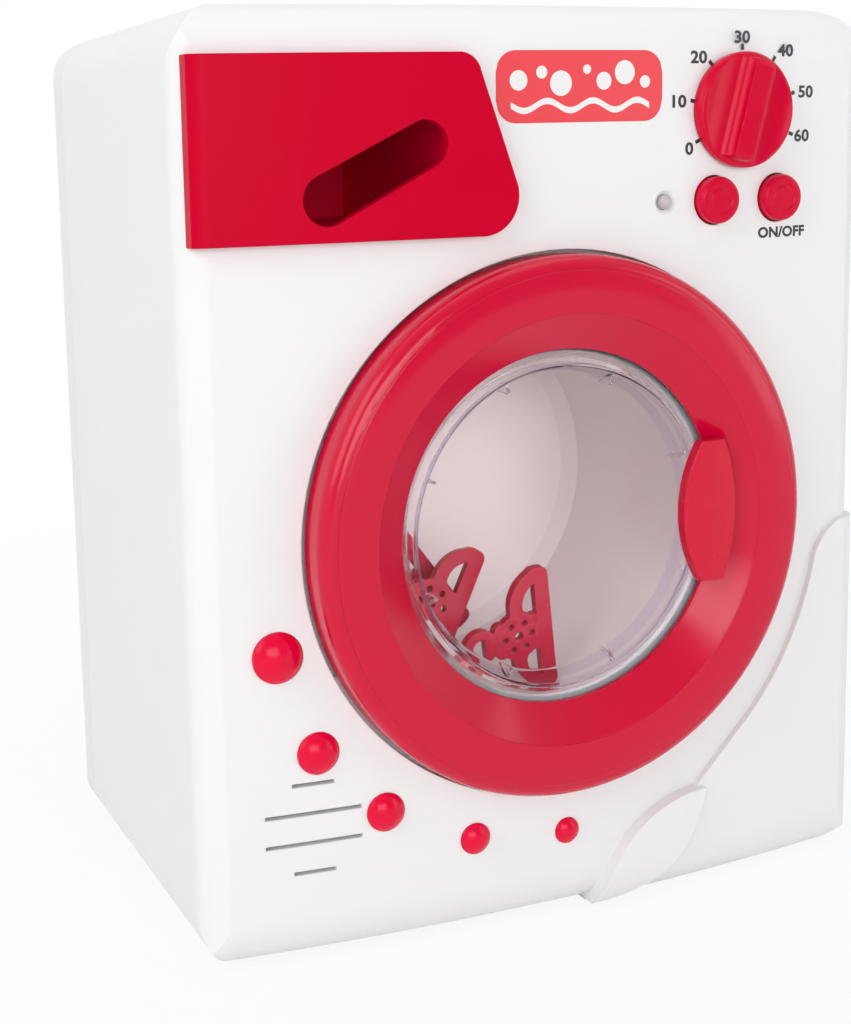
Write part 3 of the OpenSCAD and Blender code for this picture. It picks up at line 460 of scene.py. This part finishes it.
# Dial print
# Dark grey pad print on the bowed front: seven ticks, their plain numbers and the two words
# under the right button. The ink is 0.03 mm thick and follows the bow.
bow_radius = 0.5877
design_shift = np.array((-0.00065, -0.047375, 0.0))
ink_t = 0.00003
dial = np.array((0.04298, 0.16308))
tick_ring = 0.01338
tick_angles = (203.6, 168.1, 130.6, 93.1, 55.6, 18.1, -18.2)
tick_inset = (0.0005, 0.0, 0.0, 0.0, 0.0, 0.0, 0.0003)
tick_half_long, tick_half_wide = 0.0006, 0.00038
number_size, number_bold, number_stretch = 0.0033, 0.00011, 1.2
number_places = [(0.0291, 0.1565), (0.0266, 0.1658), (0.0313, 0.1744), (0.0422, 0.1784),
                 (0.0536, 0.1758), (0.0593, 0.1675), (0.0584, 0.1586)]
words_size, words_bold, words_stretch = 0.0029, 0.00012, 1.16
words_place = (0.0533, 0.1390)
letter_gap = 1.04
letter_steps = 6
print_points = []
print_faces = []


def bow_at(x):
    """Depth of the bowed front at a place across: the circle's drop, which is the radius
    less the root of radius squared less x squared."""
    return bow_radius - np.sqrt(bow_radius ** 2 - x ** 2)


def lettering(words, size, middle, bold, stretch):
    """Flat outline of some characters as points and faces: moved to have its middle at 0,
    multiplied by the stretch across, and moved to its place."""
    curve = bpy.data.curves.new("letters", "FONT")
    curve.body = words
    curve.size = size
    curve.offset = bold
    curve.space_character = letter_gap
    curve.resolution_u = letter_steps
    holder = bpy.data.objects.new("letters", curve)
    scene.collection.objects.link(holder)
    graph = bpy.context.evaluated_depsgraph_get()
    mesh = bpy.data.meshes.new_from_object(holder.evaluated_get(graph))
    points = np.empty(len(mesh.vertices) * 3)
    mesh.vertices.foreach_get("co", points)
    points = points.reshape(-1, 3)[:, :2]
    faces = [tuple(face.vertices) for face in mesh.polygons]
    points = (points - (points.min(0) + points.max(0)) / 2) * (stretch, 1.0) + middle
    bpy.data.objects.remove(holder)
    bpy.data.meshes.remove(mesh)
    return points, faces


def ticks():
    """Seven bars round the dial. A corner is the dial's middle, plus the outward direction
    times the ring's radius less the inset plus or minus half a length, plus the direction
    along the ring times plus or minus half a width."""
    turn = np.radians(tick_angles)[:, None]
    outward = np.stack([np.cos(turn), np.sin(turn)], axis=-1)
    along = np.stack([-np.sin(turn), np.cos(turn)], axis=-1)
    long = np.array((-1, 1, 1, -1)) * tick_half_long
    wide = np.array((-1, -1, 1, 1)) * tick_half_wide
    reach = tick_ring - np.array(tick_inset)[:, None] + long
    corners = dial + outward * reach[:, :, None] + along * wide[None, :, None]
    return corners.reshape(-1, 2), np.arange(corners.size // 2).reshape(-1, 4).tolist()


def add_print(points, faces):
    """Adds an outline to the dial print, its faces counted on from the points before."""
    start = sum(len(part) for part in print_points)
    print_points.append(points)
    print_faces.extend((np.asarray(face) + start).tolist() for face in faces)


add_print(*ticks())
for k, place in enumerate(number_places):
    add_print(*lettering(str(10 * k), number_size, place, number_bold, number_stretch))
add_print(*lettering("ON/OFF", words_size, words_place, words_bold, words_stretch))
print_flat = np.vstack(print_points)
print_front = np.c_[print_flat[:, 0], bow_at(print_flat[:, 0]) - ink_t, print_flat[:, 1]]
print_mesh = bpy.data.meshes.new("dial_print")
print_mesh.from_pydata((print_front + design_shift).tolist(), [], print_faces)
ink = plastic("ink", (0.03, 0.033, 0.04), 0.5, drift=0.2, peel=0.1, scale=1500.0)
print_mesh.materials.append(ink)
dial_print = bpy.data.objects.new("dial_print", print_mesh)
scene.collection.objects.link(dial_print)
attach(dial_print, "housing")

# Label
# A plain vinyl label between the drawer and the dial: a coral plate with a white wave and
# white soap bubbles, printed and stuck on the bow.
label_mid = np.array((0.0038, 0.1689))
label_half = (0.0186, 0.0068)
label_corner = 0.0042
label_t = 0.00004
label_top_t = 0.00007
wave_half_long, wave_half_wide = 0.0155, 0.0006
wave_below, wave_height, wave_pitch = 0.0036, 0.0009, 620
bubbles = [(-0.0138, 0.0012, 0.0019), (-0.0088, 0.0027, 0.0012), (-0.0046, 0.0006, 0.0024),
           (0.0012, 0.0032, 0.0009), (0.0050, 0.0010, 0.0017), (0.0098, 0.0026, 0.0023),
           (0.0145, 0.0008, 0.0012)]


def label_sheet(name, flat_x, flat_z, finish, lift):
    """A grid of places (x, z) laid on the bow: its depth is the bow's less the lift."""
    rows, columns = flat_x.shape
    points = np.stack([flat_x, bow_at(flat_x) - lift, flat_z], axis=-1).reshape(-1, 3)
    index = np.arange(rows * columns).reshape(rows, columns)
    faces = np.stack([index[:-1, :-1], index[1:, :-1], index[1:, 1:], index[:-1, 1:]],
                     axis=-1).reshape(-1, 4)
    mesh = bpy.data.meshes.new(name)
    mesh.from_pydata((points + design_shift).tolist(), [], faces.tolist())
    mesh.materials.append(finish)
    piece = bpy.data.objects.new(name, mesh)
    scene.collection.objects.link(piece)
    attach(piece, "housing")
    return piece


def rounded_plate(middle, half, corner):
    """Across runs evenly. The height at each place is the half height less the corner, plus
    the root of corner squared less the square of how far the place is into the corner."""
    across = np.linspace(-1.0, 1.0, 81)[:, None] * half[0]
    inside = np.maximum(np.abs(across) - (half[0] - corner), 0.0)
    height = half[1] - corner + np.sqrt(np.maximum(corner ** 2 - inside ** 2, 0.0))
    upward = np.linspace(-1.0, 1.0, 9)[None, :]
    return middle[0] + across + 0 * upward, middle[1] + height * upward


def wave_band(middle):
    """A band whose middle line is a sine of the place across, below the label's middle."""
    across = np.linspace(-1.0, 1.0, 97)[:, None] * wave_half_long
    width = np.linspace(-1.0, 1.0, 3)[None, :] * wave_half_wide
    line = middle[1] - wave_below + wave_height * np.sin(across * wave_pitch)
    return middle[0] + across + 0 * width, line + width


def round_dot(middle, radius):
    """A disc as a polar grid: radius from nearly nothing to full, angle once round."""
    turn = np.linspace(0.0, 2 * math.pi, 33)[None, :]
    reach = np.array([[0.02], [0.5], [1.0]]) * radius
    return middle[0] + reach * np.cos(turn), middle[1] + reach * np.sin(turn)


vinyl_coral = plastic("vinyl_coral", (0.83, 0.06, 0.075), 0.35, drift=0.04, peel=0.08,
                      scale=900.0)
vinyl_white = plastic("vinyl_white", (0.84, 0.83, 0.83), 0.35, drift=0.02, peel=0.08,
                      scale=900.0)
label_sheet("label_plate", *rounded_plate(label_mid, label_half, label_corner), vinyl_coral,
            label_t)
label_sheet("label_wave", *wave_band(label_mid), vinyl_white, label_top_t)
for k, (across, up, radius) in enumerate(bubbles):
    label_sheet("label_bubble_%d" % (k + 1),
                *round_dot(label_mid + np.array((across, up)), radius), vinyl_white,
                label_top_t)
